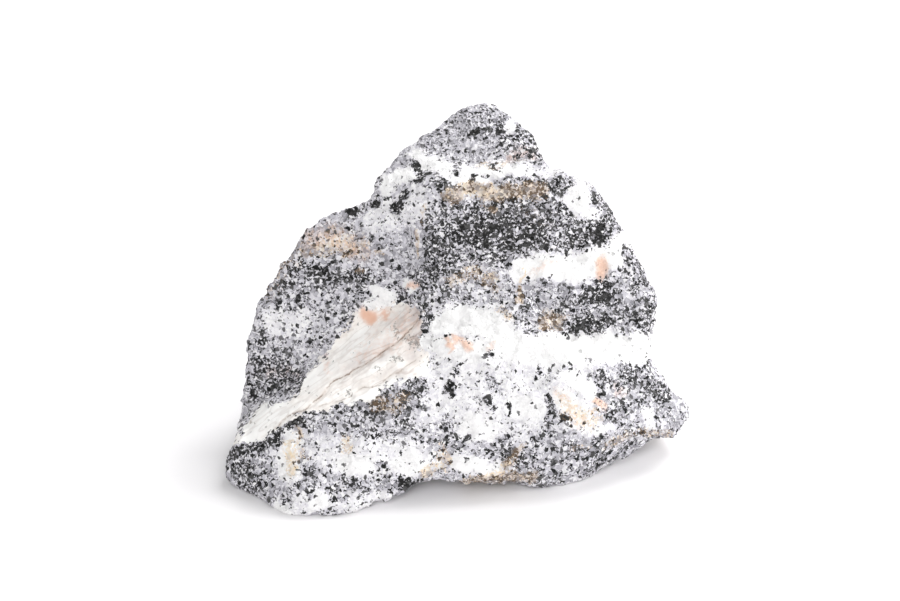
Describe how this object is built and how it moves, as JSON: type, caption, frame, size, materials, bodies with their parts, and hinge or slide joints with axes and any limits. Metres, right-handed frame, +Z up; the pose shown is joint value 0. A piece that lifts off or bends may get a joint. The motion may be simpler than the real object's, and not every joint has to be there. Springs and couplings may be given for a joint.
{
  "type": "rough rock",
  "caption": "Rough hand specimen of black and white speckled igneous rock with white veins, broken on all sides, resting on flat patches of its underside.",
  "frame": {"origin": "centre of the bounding box at floor level, under the stone", "axes": "+X along the stone's longest extent, towards the blunt toe; +Z up; the broad broken face looks towards -Y and leans back towards +Y"},
  "size_m": [0.1232, 0.0799, 0.0831],
  "materials": {
    "stone": "rough broken"
  },
  "bodies": {
    "root": {"rock": "stone"}
  },
  "joints": []
}
